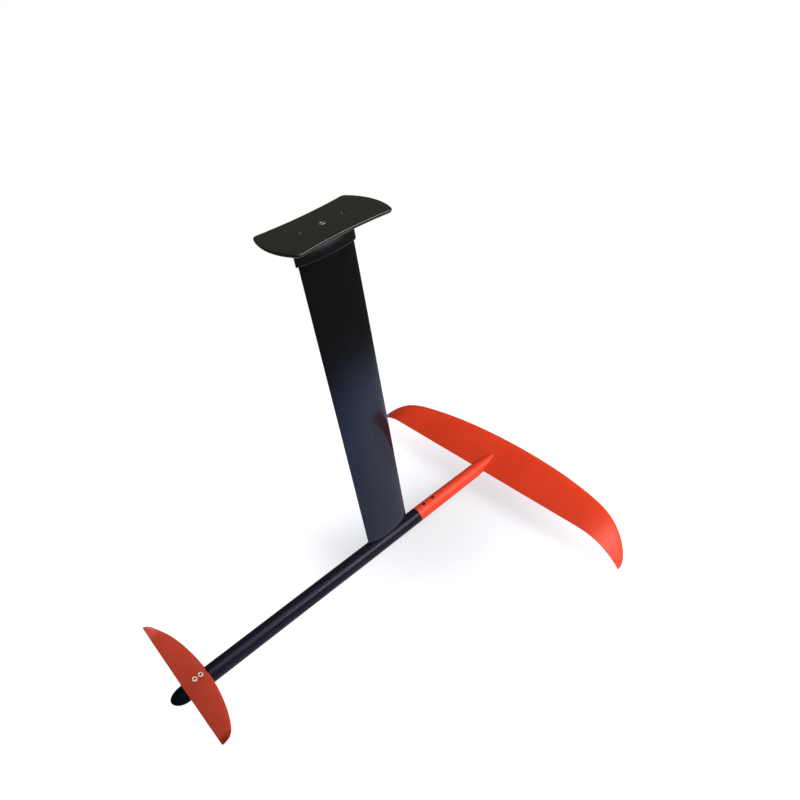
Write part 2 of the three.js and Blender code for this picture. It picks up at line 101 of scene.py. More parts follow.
MAST_HEAD = -PLATE["thickness"] - COLLAR["floor"] - 2 * GAP
MAST_FOOT = AXIS + FUSELAGE["pocket"] + GAP

plate_low, plate_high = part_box("top_plate")
ORIGIN = Vector(((plate_low.x + plate_high.x) / 2, (plate_low.y + plate_high.y) / 2, plate_high.z))


# ---- Mesh building ------------------------------------------------------------------------------
def body(parts, name="part"):
    """One object in millimetres from (points, faces) parts that share their border points."""
    mesh = bpy.data.meshes.new(name)
    points, faces = [], []
    for part_points, part_faces in parts:
        start = len(points)
        points.extend(map(tuple, part_points))
        faces.extend([[corner + start for corner in face] for face in part_faces])
    mesh.from_pydata(points, [], faces)
    skin = bmesh.new()
    skin.from_mesh(mesh)
    bmesh.ops.remove_doubles(skin, verts=skin.verts, dist=MERGE)
    bmesh.ops.recalc_face_normals(skin, faces=skin.faces)
    skin.to_mesh(mesh)
    skin.free()
    made = bpy.data.objects.new(name, mesh)
    scene.collection.objects.link(made)
    return made


def skin_through(rings, caps=(True, True), closed=False):
    """Quads through rings of points, each with the same count, with a face over each end."""
    rings = [np.asarray(ring, float) for ring in rings]
    count, total = len(rings[0]), len(rings)
    faces = []
    for r in range(total if closed else total - 1):
        a, b = r * count, ((r + 1) % total) * count
        faces.extend([[a + i, a + (i + 1) % count, b + (i + 1) % count, b + i]
                      for i in range(count)])
    if caps[0]:
        faces.append(list(range(count))[::-1])
    if caps[1]:
        faces.append(list(range((total - 1) * count, total * count)))
    return np.concatenate(rings), faces


def turned(profile, sides=64, closed=False):
    """Skin of revolution about +Z through (radius, z) pairs."""
    angles = np.arange(sides) * 2 * math.pi / sides
    rings = [np.c_[r * np.cos(angles), r * np.sin(angles), np.full(sides, float(z))]
             for r, z in profile]
    return skin_through(rings, (False, False), closed)


def lathe(profile, sides=64, x=0.0, y=0.0, closed=False):
    """Solid of revolution about the upright line through x and y."""
    made = body([turned(profile, sides, closed)])
    made.data.transform(Matrix.Translation((x, y, 0)))
    return made


def along_fuselage(made, drop=0.0):
    """Turns an upright solid so that its axis runs forward along the fuselage."""
    made.data.transform(Matrix.Translation((0, 0, AXIS - drop)) @ Matrix.Rotation(math.pi / 2, 4, "Y"))
    return made


def arc(centre, radius, start, end, steps, last=True):
    """(x, y) points round an arc, angles in degrees."""
    count = steps + 1 if last else steps
    turn = np.radians(start + (end - start) * np.arange(count) / steps)
    return [(centre[0] + radius * math.cos(t), centre[1] + radius * math.sin(t)) for t in turn]


def carve(target, tools, operation="DIFFERENCE"):
    """Cuts target by each tool in turn, or joins them, and clears the tools away."""
    for tool in tools:
        step = target.modifiers.new("carve", "BOOLEAN")
        step.object = tool
        step.operation = operation
        step.solver = "EXACT"
    apply_all(target)
    for tool in tools:
        mesh = tool.data
        bpy.data.objects.remove(tool)
        bpy.data.meshes.remove(mesh)
    return target


def apply_all(target):
    """Replaces target's mesh by what its modifiers make of it."""
    depsgraph = bpy.context.evaluated_depsgraph_get()
    mesh = bpy.data.meshes.new_from_object(target.evaluated_get(depsgraph))
    old = target.data
    target.modifiers.clear()
    target.data = mesh
    bpy.data.meshes.remove(old)


def settle(made, node, material, at=(0.0, 0.0, 0.0), sharp=32):
    """Finishes a piece that is drawn round the point at: metres, shading, place, finish and root body,
    and hides the imported node.
    """
    made.data.transform(Matrix.Scale(MM, 4))
    made.location = ORIGIN + Vector(at) * MM
    made.data.shade_smooth()
    made.data.set_sharp_from_angle(angle=math.radians(sharp))
    weigh = made.modifiers.new("normals", "WEIGHTED_NORMAL")
    weigh.keep_sharp = True
    apply_all(made)
    made.name = node + "_fine"
    made.data.name = made.name
    made.data.materials.clear()
    made.data.materials.append(material)
    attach(made, "root")
    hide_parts(node)
    return made


# ---- Foil sections ------------------------------------------------------------------------------
def strut_half(s):
    """Half thickness of a strut section at chord fraction s, for a section 1 thick."""
    t = 1 - s
    fore = 0.98967 * np.sqrt(s) - 0.23925 * s - 0.041 * s ** 2 - 0.5594 * s ** 3
    aft = 0.01 + 2.325 * t - 3.42 * t ** 2 + 1.46 * t ** 3
    return np.where(s < 0.5, fore, aft)


def wing_half(s):
    """Half thickness of a wing section at chord fraction s, for a section 1 thick."""
    return 5 * (0.2969 * np.sqrt(s) - 0.126 * s - 0.3516 * s ** 2 + 0.2843 * s ** 3
                - 0.1036 * s ** 4)


def section(half, thickness, edge, steps):
    """Chord fractions and heights round a section, from the nose over the top and back below."""
    s = (1 - np.cos(np.pi * np.arange(steps + 1) / steps)) / 2
    h = half(s) * thickness + edge * s
    return np.r_[s, s[:0:-1]], np.r_[h, -h[:0:-1]]


def strut_ring(nose, tail, z, grow=0.0, flare=0.0, steps=44):
    """Ring of a strut section lying flat at height z, grown all round and flared at its sides."""
    s, h = section(strut_half, MAST["thickness"] + 2 * grow, MAST["edge"], steps)
    h = h + np.sign(h) * flare * np.sqrt(np.clip(np.sin(np.pi * s), 0, 1))
    return np.c_[nose + grow - s * (nose - tail + 2 * grow), h, np.full(len(s), z)]


def mast_ring(z, grow=0.0):
    """The mast's section at height z: the chord narrows evenly from head to foot."""
    down = (MAST_HEAD - z) / (MAST_HEAD - MAST_FOOT)
    nose = MAST["nose_top"] + (MAST["nose_foot"] - MAST["nose_top"]) * down
    tail = MAST["tail_top"] + (MAST["tail_foot"] - MAST["tail_top"]) * down
    return strut_ring(nose, tail, z, grow)


def wing(size, rise_at, thickness_at, stations, steps):
    """Wing from tip to tip, each section square to the line that the wing bends along."""
    rings = []
    for i in range(-stations, stations + 1):
        reach = min(math.sin(abs(i) / stations * math.pi / 2), 0.99999)
        span = reach * size["half_span"]
        side = math.copysign(1.0, i) if i else 0.0
        share = (1 - reach ** size["span_power"]) ** (1 / size["chord_power"])
        chord = (size["nose"] - size["tail"]) * share
        inner = max(0.0, span - 0.5)
        lean = math.atan((rise_at(span + 0.5) - rise_at(inner)) / (span + 0.5 - inner))
        thickness = min(thickness_at(span, chord), 0.4 * chord)
        s, h = section(wing_half, thickness, size["edge"] * min(1, chord / 8), steps)
        out = h + 4 * size["camber"] * chord * s * (1 - s)
        rings.append(np.c_[size["tail"] + chord * (1 - s), side * (span - out * math.sin(lean)),
                           AXIS + rise_at(span) + out * math.cos(lean)])
    return body([skin_through(rings)])


# ---- Fasteners ----------------------------------------------------------------------------------
FACETS = 48
THREAD_STEPS = 6
THREAD_SHAPE = (0.0, 0.0, 0.5, 1.0, 1.0, 0.5)


def thread(root, crest, pitch, top, bottom):
    """Skin of a screw thread between two heights, plain at the root radius at both ends."""
    rows = int(math.ceil((top - bottom) / pitch + 2)) * THREAD_STEPS + 1
    points, faces = [], []
    for k in range(rows):
        for j in range(FACETS):
            raw = top + pitch * (1 - k / THREAD_STEPS - j / FACETS)
            z = min(max(raw, bottom), top)
            fade = min(1.0, (top - z) / pitch, (z - bottom) / pitch)
            radius = root + (crest - root) * THREAD_SHAPE[k % THREAD_STEPS] * fade
            angle = j * 2 * math.pi / FACETS
            points.append((radius * math.cos(angle), radius * math.sin(angle), z))
    for k in range(rows - 1):
        for j in range(FACETS):
            right = k * FACETS + j + 1 if j + 1 < FACETS else (k + THREAD_STEPS) * FACETS
            if right + FACETS < rows * FACETS:
                faces.append([k * FACETS + j, right, right + FACETS, (k + 1) * FACETS + j])
    return points, faces


def hexagon(radius, low, high):
    """Upright hexagonal bar with a shallow drill point under it."""
    turn = np.radians(np.arange(6) * 60 + 30)
    ring = [np.c_[radius * np.cos(turn), radius * np.sin(turn), np.full(6, z)] for z in (low, high)]
    point = np.tile([0.0, 0.0, low - 0.35 * radius], (6, 1))
    drill = ring[0] * [0.8, 0.8, 1.0]
    return body([skin_through([point, drill, ring[0], ring[1]], (False, True))])


def screw(kind, length, countersunk=False):
    """Screw hanging down from its head's top at z = 0, with a hexagon socket and a thread."""
    head, height, shank, pitch = (kind[k] for k in ("head", "height", "shank", "pitch"))
    root = shank - 0.6 * pitch
    end = -height - length
    rim = 0.3 if countersunk else 0.35 * height
    crown = [(head - 0.6 + 0.6 * math.cos(t), -rim + rim * math.sin(t))
             for t in np.radians(np.arange(0, 91, 15))]
    if countersunk:
        neck = [(shank, -height), (head, -rim - 0.05)]
    else:
        neck = [(shank, -height), (head - 0.25, -height), (head, -height + 0.25)]
    plain = -height - 1.5 * pitch
    cone = 0.25 * shank
    upper = [(root, plain - 0.4 * pitch), (shank, plain), *neck, *crown, (0, 0)]
    lower = [(0, end), (shank - cone - 0.4, end), (root, end + cone)]
    made = body([turned(lower, FACETS), turned(upper, FACETS),
                 thread(root, shank, pitch, plain - 0.4 * pitch, end + cone)])
    corner = kind["hex"]
    deep = hexagon(corner, -kind["depth"], OVERCUT)
    mouth = lathe([(0, -0.25), (corner - 0.25, -0.25), (corner + 2.0, OVERCUT), (0, OVERCUT)], FACETS)
    return carve(made, [deep, mouth])


def threaded_sleeve(outer, shank, pitch, length):
    """Moulded-in sleeve standing on z = 0: knurled outside with two grooves, threaded inside."""
    root, crest = shank + 0.62, shank + 0.16
    levels = np.linspace(0.6, length - 0.6, int(length / 0.6))
    angles = np.arange(FACETS) * 2 * math.pi / FACETS
    rings = [np.c_[r * np.cos(angles), r * np.sin(angles), np.full(FACETS, z)]
             for r, z in ((root, 0.0), (outer - 0.45, 0.0), (outer - 0.15, 0.3))]
    for row, z in enumerate(levels):
        grooved = any(abs(z / length - place) < 0.06 for place in (0.33, 0.67))
        raised = (np.arange(FACETS) // 2 + row // 2) % 2
        r = np.full(FACETS, outer - 0.55) if grooved else outer - 0.22 * raised
        rings.append(np.c_[r * np.cos(angles), r * np.sin(angles), np.full(FACETS, z)])
    rings += [np.c_[r * np.cos(angles), r * np.sin(angles), np.full(FACETS, z)]
              for r, z in ((outer - 0.15, length - 0.3), (outer - 0.45, length), (root, length))]
    return body([skin_through(rings, (False, False)), thread(root, crest, pitch, length, 0.0)])


def flat_washer(outer, bore, thickness):
    """Plain washer with softened edges."""
    c = 0.18
    profile = [(bore, c), (bore + c, 0), (outer - c, 0), (outer, c), (outer, thickness - c),
               (outer - c, thickness), (bore + c, thickness), (bore, thickness - c)]
    return lathe(profile, 96, closed=True)


def cup_washer(bore=3.4, outer=5.6, height=2.7, roll=0.5):
    """Dished washer with a rolled rim that a countersunk head sits in."""
    rolled = arc((outer - roll, height - roll), roll, 0, 180, 12)
    profile = [(bore, 0.2), (bore + 0.2, 0.0), (outer - 0.4, 0.0), (outer, 0.4), *rolled, (bore, 0.6)]
    return lathe(profile, 96, closed=True)


# ---- Materials ----------------------------------------------------------------------------------
def link_in(tree, socket, value):
    """Sets a socket to a value, or links another node's output to it."""
    if isinstance(value, bpy.types.NodeSocket):
        tree.links.new(value, socket)
    else:
        socket.default_value = value


def add(tree, kind, inputs=None, **settings):
    made = tree.nodes.new("ShaderNode" + kind)
    for key, value in settings.items():
        setattr(made, key, value)
    for key, value in (inputs or {}).items():
        link_in(tree, made.inputs[key], value)
    return made


def ranged(tree, value, low, high, start=0.3, stop=0.7):
    """A 0 to 1 value from start to stop, mapped to low to high and held there."""
    return add(tree, "MapRange", {"Value": value, "From Min": start, "From Max": stop,
                                  "To Min": low, "To Max": high}).outputs["Result"]


def noise(tree, at, scale, detail=2.0, roughness=0.5, distortion=0.0):
    return add(tree, "TexNoise", {"Vector": at, "Scale": scale, "Detail": detail,
                                  "Roughness": roughness, "Distortion": distortion}).outputs["Fac"]


def mixed(tree, factor, first, second):
    """Colour between two colours."""
    made = add(tree, "Mix", data_type="RGBA")
    for index, value in ((0, factor), (6, first), (7, second)):
        link_in(tree, made.inputs[index], value)
    return made.outputs[2]


def summed(tree, *values):
    total = values[0]
    for value in values[1:]:
        total = add(tree, "Math", {0: total, 1: value}, operation="ADD").outputs[0]
    return total


def scaled(tree, value, factor):
    return add(tree, "Math", {0: value, 1: factor}, operation="MULTIPLY").outputs[0]


# Painted shade: the dark colour painted down a screw's socket, where the socket's own shade falls.
SOCKET_SHADE_COLOUR = (0.022, 0.018, 0.014, 1)


def surface(name, dark, light, rough, relief, mottle=12.0, specular=0.5, tint=(1, 1, 1),
            metallic=0.0, rings=0.0, smear=30.0, shaded_core=None):
    """A finish that varies over the surface.

    dark and light are the two ends of its colour, rough the two ends of its roughness, and relief
    is a list of (scale per metre, depth in metres) for its layers of fine bump. mottle and smear
    are the scales of the clouds in its colour and its roughness, and rings is the spacing in metres
    of turning marks round the piece's own upright axis. The last argument is a radius round that
    axis within which the colour is painted dark: painted shade down a screw's socket.
    """
    material = bpy.data.materials.new(name)
    material.use_nodes = True
    tree = material.node_tree
    shader = tree.nodes["Principled BSDF"]
    where = add(tree, "TexCoord").outputs["Object"]
    cloud = noise(tree, where, mottle, 4.0, 0.55)
    colour = mixed(tree, ranged(tree, cloud, 0.0, 1.0), (*dark, 1), (*light, 1))
    # Painted shade down a screw's socket: near the piece's upright axis the colour turns dark.
    if shaded_core:
        flat = add(tree, "VectorMath", {0: where, 1: (1.0, 1.0, 0.0)}, operation="MULTIPLY")
        reach = add(tree, "VectorMath", {0: flat.outputs["Vector"]}, operation="LENGTH")
        socket_shade = ranged(tree, reach.outputs["Value"], 1.0, 0.0, shaded_core * 0.96, shaded_core * 1.04)
        colour = mixed(tree, socket_shade, colour, SOCKET_SHADE_COLOUR)
    link_in(tree, shader.inputs["Base Color"], colour)
    haze = noise(tree, where, smear, 5.0, 0.65, 0.4)
    link_in(tree, shader.inputs["Roughness"], ranged(tree, haze, *rough))
    heights = [scaled(tree, noise(tree, where, scale), depth) for scale, depth in relief]
    if rings:
        mark = add(tree, "TexWave", {"Vector": where, "Scale": 1 / (20 * rings), "Distortion": 1.5,
                                     "Detail": 2.0}, wave_type="RINGS", rings_direction="Z")
        heights.append(scaled(tree, mark.outputs["Fac"], rings * 0.02))
    bump = add(tree, "Bump", {"Height": summed(tree, *heights), "Distance": 1.0, "Strength": 1.0})
    link_in(tree, shader.inputs["Normal"], bump.outputs["Normal"])
    shader.inputs["Metallic"].default_value = metallic
    shader.inputs["Specular IOR Level"].default_value = specular
    shader.inputs["Specular Tint"].default_value = (*tint, 1)
    return material


orange = surface("wing_orange", (0.530, 0.0315, 0.0085), (0.590, 0.0390, 0.0110), (0.44, 0.54),
                 ((260, 3.5e-5), (1400, 3e-6)), mottle=9, specular=0.18)
# The rear wing's orange is darker than the front wing's: the darker tone is painted shade for the
# dimmer light at the rear of the foil.
rear_orange_painted_shade = surface("rear_wing_orange", (0.385, 0.0375, 0.0195), (0.440, 0.0460, 0.0240),
                      (0.44, 0.54), ((260, 3.5e-5), (1400, 3e-6)), mottle=14, specular=0.22)
mast_black = surface("mast_gloss_black", (0.0034, 0.0031, 0.0027), (0.0050, 0.0046, 0.0040),
                     (0.10, 0.17), ((5, 8e-4), (340, 6e-6)), mottle=7, tint=(0.21, 0.35, 0.90),
                     specular=0.42)
fuselage_black = surface("fuselage_gloss_black", (0.0064, 0.0060, 0.0105), (0.0098, 0.0092, 0.0160),
                         (0.13, 0.19), ((420, 9e-6), (1300, 3e-6)), mottle=24, specular=0.08,
                         tint=(0.74, 0.66, 0.92))
plate_black = surface("plate_black", (0.0052, 0.0066, 0.0062), (0.0082, 0.0101, 0.0095),
                      (0.29, 0.37), ((2200, 7e-6), (700, 8e-6)), mottle=26, specular=0.34)
collar_black = surface("collar_black", (0.0028, 0.0028, 0.0032), (0.0048, 0.0048, 0.0056),
                       (0.20, 0.30), ((900, 9e-6), (2600, 3e-6)), mottle=40, tint=(0.72, 0.70, 1.0))
tail_black = surface("tail_black", (0.0012, 0.0030, 0.0052), (0.0020, 0.0050, 0.0080), (0.32, 0.42),
                     ((800, 8e-6), (2400, 3e-6)), mottle=50, specular=0.02)
stainless = surface("stainless", (0.29, 0.30, 0.285), (0.40, 0.41, 0.395), (0.34, 0.46),
                    ((1800, 3e-6),), mottle=300, metallic=1.0, rings=3.5e-4, smear=400)
screw_dark = surface("screw_dark", (0.13, 0.13, 0.12), (0.18, 0.18, 0.167), (0.34, 0.46),
                     ((1800, 3e-6),), mottle=300, metallic=1.0, rings=3.5e-4, smear=400)
# Its middle is painted dark: painted shade down the sockets of the countersunk screws.
cup_steel = surface("cup_steel", (0.68, 0.60, 0.44), (0.78, 0.70, 0.53), (0.42, 0.52),
                    ((1800, 3e-6),), mottle=300, metallic=0.35, rings=3.5e-4, smear=400,
                    shaded_core=0.00235)
screw_black = surface("screw_black", (0.018, 0.016, 0.016), (0.032, 0.029, 0.028), (0.32, 0.45),
                      ((2200, 4e-6),), mottle=300, metallic=0.6, rings=3.5e-4, smear=400)
brass = surface("insert_brass", (0.52, 0.36, 0.13), (0.66, 0.48, 0.20), (0.26, 0.40),
                ((1800, 3e-6),), mottle=260, metallic=1.0, rings=4e-4, smear=400)


# ---- Camera, light and floor --------------------------------------------------------------------
# The camera stands behind the foil, above it and to starboard.
camera = bpy.data.objects.new("camera", bpy.data.cameras.new("camera"))
scene.collection.objects.link(camera)
camera.location = (-0.49998, -0.91826, 1.24756)
camera.rotation_euler = [math.radians(a) for a in (52.393, 10.132, -39.291)]
camera.data.sensor_width = 36.0
camera.data.lens = 30.705
camera.data.shift_x, camera.data.shift_y = 0.05465, 0.01401
camera.data.clip_start, camera.data.clip_end = 0.05, 100.0
scene.camera = camera
scene.view_settings.view_transform = "Standard"


def softbox(name, place, aim, width, height, power, colour):
    """Rectangular lamp at a place, turned to face a point."""
    lamp = bpy.data.lights.new(name, "AREA")
    lamp.shape, lamp.size, lamp.size_y = "RECTANGLE", width, height
    lamp.energy, lamp.color = power, colour
    made = bpy.data.objects.new(name, lamp)
    scene.collection.objects.link(made)
    made.location = place
    made.rotation_euler = (Vector(aim) - Vector(place)).to_track_quat("-Z", "Y").to_euler()
    return made


LAMP_COLOUR = (1.0, 0.99, 0.975)
softbox("key_light", (2.35, -3.15, 3.05), (0.1, 0.0, 0.1), 3.2, 3.2, 425.0, LAMP_COLOUR)
# The strip only draws the soft highlight along the top of the round pieces.
strip = softbox("strip_light", (0.3, -1.3, 3.0), (0.0, 0.0, 0.06), 1.3, 3.2, 72.0, LAMP_COLOUR)
strip.visible_diffuse = False

world = bpy.data.worlds.new("studio")
scene.world = world
world.use_nodes = True
background = world.node_tree.nodes["Background"]
seen = add(world.node_tree, "LightPath").outputs["Is Camera Ray"]
link_in(world.node_tree, background.inputs["Color"],
        mixed(world.node_tree, seen, (0.16, 0.14, 0.10, 1), (1, 1, 1, 1)))

# The floor glows, brighter away from its centre, and thins out to nothing so that it has no edge.
FLOOR_RADIUS = 4.0
FLOOR_CENTRE = (0.2, 0.0, 0.0)
FULL_GLOW, CLEAR_FLOOR = 0.5, 0.95
DIM, BRIGHT = 0.58, 1.05
rim = np.arange(128) * 2 * math.pi / 128
floor_mesh = bpy.data.meshes.new("studio_floor")
floor_mesh.from_pydata([(FLOOR_RADIUS * math.cos(t), FLOOR_RADIUS * math.sin(t), 0.0) for t in rim],
                       [], [list(range(128))])
floor = bpy.data.objects.new("studio_floor", floor_mesh)
scene.collection.objects.link(floor)
paper = bpy.data.materials.new("studio_paper")
paper.use_nodes = True
tree = paper.node_tree
matt = tree.nodes["Principled BSDF"]
matt.inputs["Base Color"].default_value = (0.25, 0.255, 0.265, 1)
matt.inputs["Emission Color"].default_value = (0.93, 0.95, 1.0, 1)
matt.inputs["Roughness"].default_value = 0.9
spot = add(tree, "TexCoord").outputs["Object"]
away = add(tree, "VectorMath", {0: spot, 1: FLOOR_CENTRE}, operation="DISTANCE").outputs["Value"]
glow = add(tree, "MapRange", {"Value": away, "From Min": 0.0, "From Max": FULL_GLOW, "To Min": DIM,
                              "To Max": BRIGHT}, interpolation_type="SMOOTHSTEP").outputs["Result"]
link_in(tree, matt.inputs["Emission Strength"], glow)
fade = add(tree, "MapRange", {"Value": away, "From Min": FULL_GLOW, "From Max": CLEAR_FLOOR},
           interpolation_type="SMOOTHSTEP").outputs["Result"]
under = add(tree, "NewGeometry").outputs["Backfacing"]
fade = add(tree, "Math", {0: fade, 1: under}, operation="MAXIMUM").outputs[0]
clear = add(tree, "BsdfTransparent").outputs[0]
blend = add(tree, "MixShader", {0: fade, 1: matt.outputs[0], 2: clear})
tree.links.new(blend.outputs[0], tree.nodes["Material Output"].inputs["Surface"])
floor_mesh.materials.append(paper)


# ---- Top plate and collar -----------------------------------------------------------------------
def plate_ring(z, inset):
    """Plate outline at height z: bowed ends, rounded corners and waisted sides, inset all round."""
    end = Vector((PLATE["half_length"] - PLATE["end_radius"], 0))
    side = Vector((0, PLATE["half_waist"] + PLATE["side_radius"]))
    to_side = side - end
    end_reach = PLATE["end_radius"] - PLATE["corner_radius"]
    side_reach = PLATE["side_radius"] + PLATE["corner_radius"]
    along = (end_reach ** 2 - side_reach ** 2 + to_side.length_squared) / (2 * to_side.length)
    across = math.sqrt(end_reach ** 2 - along ** 2)
    ahead = to_side.normalized()
    corner = end + ahead * along + Vector((ahead.y, -ahead.x)) * across
    bow, shoulder, flank = (math.degrees(math.atan2(v.y, v.x))
                            for v in (corner - end, side - corner, corner - side))
    half = arc(end, PLATE["end_radius"] - inset, -bow, bow, 48, False)
    half += arc(corner, PLATE["corner_radius"] - inset, bow, shoulder, 14, False)
    half += arc(side, PLATE["side_radius"] + inset, flank, -180 - flank, 48, False)
    half += arc((-corner.x, corner.y), PLATE["corner_radius"] - inset, 180 - shoulder, 180 - bow, 14,
                False)
    return [(x, y, z) for x, y in half] + [(-x, -y, z) for x, y in half]


def top_plate():
    thickness, fillet, rim_bottom = PLATE["thickness"], PLATE["fillet"], PLATE["rim_bottom"]
    rounded = [(-fillet * (1 - math.sin(t)), fillet * (1 - math.cos(t)))
               for t in np.radians(np.arange(0, 91, 10))]
    under = PLATE["under"]
    lower = [(-thickness, under + 0.5), (-thickness + 0.05, under + 0.2), (-thickness + 0.2, under),
             (rim_bottom - 0.3, 0.15), (rim_bottom, 0.02)]
    plate = body([skin_through([plate_ring(z, inset) for z, inset in (*lower, *rounded)])])
    tools = []
    for _, x, kind, head_top, _, _ in PLATE_SCREWS:
        ledge = head_top - kind["height"] - GAP
        wide = kind["head"] + 2 * GAP
        tools.append(lathe([(0, -thickness - OVERCUT), (kind["shank"] + GAP, -thickness - OVERCUT),
                            (kind["shank"] + GAP, ledge), (wide, ledge), (wide, -0.45),
                            (wide + 0.45 + OVERCUT, OVERCUT), (0, OVERCUT)], 72, x))
    return carve(plate, tools)


def mast_collar():
    top, bottom, wall, lip = -PLATE["thickness"] - GAP, COLLAR["bottom"], COLLAR["wall"], COLLAR["lip"]

    def ring(z, grow):
        rise = max(0.0, (z - COLLAR["flare_start"]) / (top - COLLAR["flare_start"]))
        flare = COLLAR["flare"] * rise ** 2 if grow > GAP else 0.0
        return strut_ring(MAST["nose_top"], MAST["tail_top"], z, grow, flare)

    outer = [ring(bottom + lip * (1 - math.cos(t)), wall - lip * (1 - math.sin(t)))
             for t in np.radians(np.arange(0, 91, 15))]
    outer += [ring(z, wall) for z in np.linspace(bottom + lip + 2, top, 32)]
    collar = body([skin_through(outer)])
    floor_level = top - COLLAR["floor"]
    tools = [body([skin_through([ring(bottom - OVERCUT, GAP + 0.6 + OVERCUT), ring(bottom + 0.6, GAP),
                                 ring(floor_level, GAP)])])]
    for _, x, kind, _, _, _ in PLATE_SCREWS:
        bore = kind["shank"] + GAP
        tools.append(lathe([(0, floor_level - OVERCUT), (bore, floor_level - OVERCUT),
                            (bore, top + OVERCUT), (0, top + OVERCUT)], 48, x))
    return carve(collar, tools)


settle(top_plate(), "top_plate", plate_black)
settle(mast_collar(), "mast_collar", collar_black)


# ---- Mast ---------------------------------------------------------------------------------------
def drill(radius, low, high, x=0.0):
    """Plain round cutter."""
    return lathe([(0, low), (radius, low), (radius, high), (0, high)], 48, x)


def mast():
    blade = body([skin_through([mast_ring(z) for z in np.linspace(MAST_HEAD, MAST_FOOT, 48)])])
    tools = [drill(sleeve + GAP, MAST_HEAD - HEAD_FIXING["bore_depth"], MAST_HEAD + OVERCUT, x)
             for _, x, _, _, _, sleeve in PLATE_SCREWS]
    tools += [drill(FOOT_FIXING["sleeve"] + GAP, MAST_FOOT - OVERCUT,
                    MAST_FOOT + FOOT_FIXING["bore_depth"], x) for _, x in FOOT_SCREWS]
    return carve(blade, tools)


settle(mast(), "mast", mast_black)


# ---- Fuselage and tail cone ---------------------------------------------------------------------
def fuselage():
    radius, front, rear = FUSELAGE["radius"], FUSELAGE["front"], FUSELAGE["rear"]
    spigot, end = FUSELAGE["spigot"], FUSELAGE["spigot_end"]
    taper_start, neck = FUSELAGE["taper_start"], FUSELAGE["front_radius"]
    tube = [(radius, x) for x in np.linspace(rear + 0.4, taper_start, 40)]
    tube += [(radius + (neck - radius) * f, taper_start + (front - 0.5 - taper_start) * f)
             for f in np.linspace(0.08, 1, 12)]
    shoulder = [(neck - 0.5 * (1 - math.cos(t)), front - 0.5 + 0.5 * math.sin(t))
                for t in np.radians((30, 60, 90))]
    profile = [(0, rear), (radius - 0.4, rear), *tube, *shoulder, (spigot + 0.4, front),
               (spigot, front + 0.4), *[(spigot, x) for x in np.linspace(front + 8, end - 1.5, 8)],
               (spigot - 1.5, end), (0, end)]
    hull = along_fuselage(lathe(profile, 96))
    pocket, crown = AXIS + FUSELAGE["pocket"], AXIS + radius + OVERCUT
    tools = [body([skin_through([mast_ring(pocket, GAP), mast_ring(crown, GAP)])])]
    belly = AXIS - radius
    for _, x in FOOT_SCREWS:
        ledge = belly + FOOT_FIXING["recess"] + FOOT_FIXING["washer_height"] + GAP
        well, bore = FOOT_FIXING["washer"] + GAP, M8_CAP["shank"] + GAP
        tools.append(lathe([(0, belly - OVERCUT), (well, belly - OVERCUT), (well, ledge),
                            (bore, ledge), (bore, pocket + OVERCUT), (0, pocket + OVERCUT)], 64, x))
    tools += [drill(STEM_FIXING["sleeve"] + GAP, AXIS + STEM_FIXING["hole_base"], crown, x)
              for _, x in STEM_SCREWS]
    long, wide, deep = FUSELAGE["seat_front"] - rear + OVERCUT, 4 * radius, radius
    seat = bpy.data.meshes.new("seat")
    block = bmesh.new()
    bmesh.ops.create_cube(block, size=1.0)
    block.to_mesh(seat)
    block.free()
    seat.transform(Matrix.Translation(((FUSELAGE["seat_front"] + rear - OVERCUT) / 2, 0,
                                       AXIS + FUSELAGE["seat"] + deep / 2))
                   @ Matrix.Diagonal((long, wide, deep, 1)))
    cutter = bpy.data.objects.new("seat", seat)
    scene.collection.objects.link(cutter)
    tools.append(cutter)
    tools += [drill(REAR_FIXING["sleeve"] + GAP, AXIS + REAR_FIXING["hole_base"],
                    AXIS + FUSELAGE["seat"] + OVERCUT, x) for _, x in REAR_SCREWS]
    tools.append(along_fuselage(drill(TAIL["plug"] + GAP, rear - OVERCUT,
                                      rear + TAIL["plug_hole"]), TAIL["plug_drop"]))
    return carve(hull, tools)


def tail_cone():
    rear, radius = FUSELAGE["rear"] - GAP, FUSELAGE["radius"]
    around = np.arange(96) * 2 * math.pi / 96
    height = np.where(np.cos(around) > 0, TAIL["top"], radius)
    rings = []
    for turn in np.linspace(0, 1, 33) * math.pi / 2:
        u, size = math.sin(turn), math.cos(turn)
        rings.append(np.c_[np.full(96, rear - TAIL["length"] * u), radius * size * np.sin(around),
                           AXIS + TAIL["rise"] * u * u + height * size * np.cos(around)])
    cone = body([skin_through(rings, (True, False))])
    width, end, chamfer = TAIL["plug"], rear + TAIL["plug_length"], TAIL["plug_chamfer"]
    outline = [(0, rear - OVERCUT), (width, rear - OVERCUT), (width, end - chamfer),
               (width - chamfer, end), (0, end)]
    plug = along_fuselage(lathe(outline, 64), TAIL["plug_drop"])
    return carve(cone, [plug], "UNION")


settle(fuselage(), "fuselage", fuselage_black)
settle(tail_cone(), "tail_cone", tail_black)


# ---- Wings --------------------------------------------------------------------------------------
def front_wing_rise(span):
    """Height above the fuselage axis: flat, then drooping at the tips."""
    bend, droop = FRONT_WING["bend_start"], FRONT_WING["droop"]
    return -droop * (max(0.0, span - bend) / (FRONT_WING["half_span"] - bend)) ** 2.85


def front_wing_thickness(span, _):
    """Thick in the middle and thin at the tips, whatever the chord."""
    middle, tip = FRONT_WING["thickness"]
    return middle + (tip - middle) * (span / FRONT_WING["half_span"]) ** 2


def rear_wing_rise(span):
    """Height above the fuselage axis: a shallow vee with upturned tips."""
    reach, tip_start = span / REAR_WING["half_span"], REAR_WING["tip_start"]
    tip = max(0.0, reach - tip_start) / (1 - tip_start)
    return REAR_WING["height"] + REAR_WING["vee"] * reach ** 1.4 + REAR_WING["tip_rise"] * tip ** 2.1


def rear_wing_thickness(span, chord):
    """A share of the chord, swollen at the root where the screws pass."""
    swell = REAR_WING["root_swell"] * math.exp(-(span / REAR_WING["root_width"]) ** 2)
    return max(0.11 * chord, 1.6) + swell


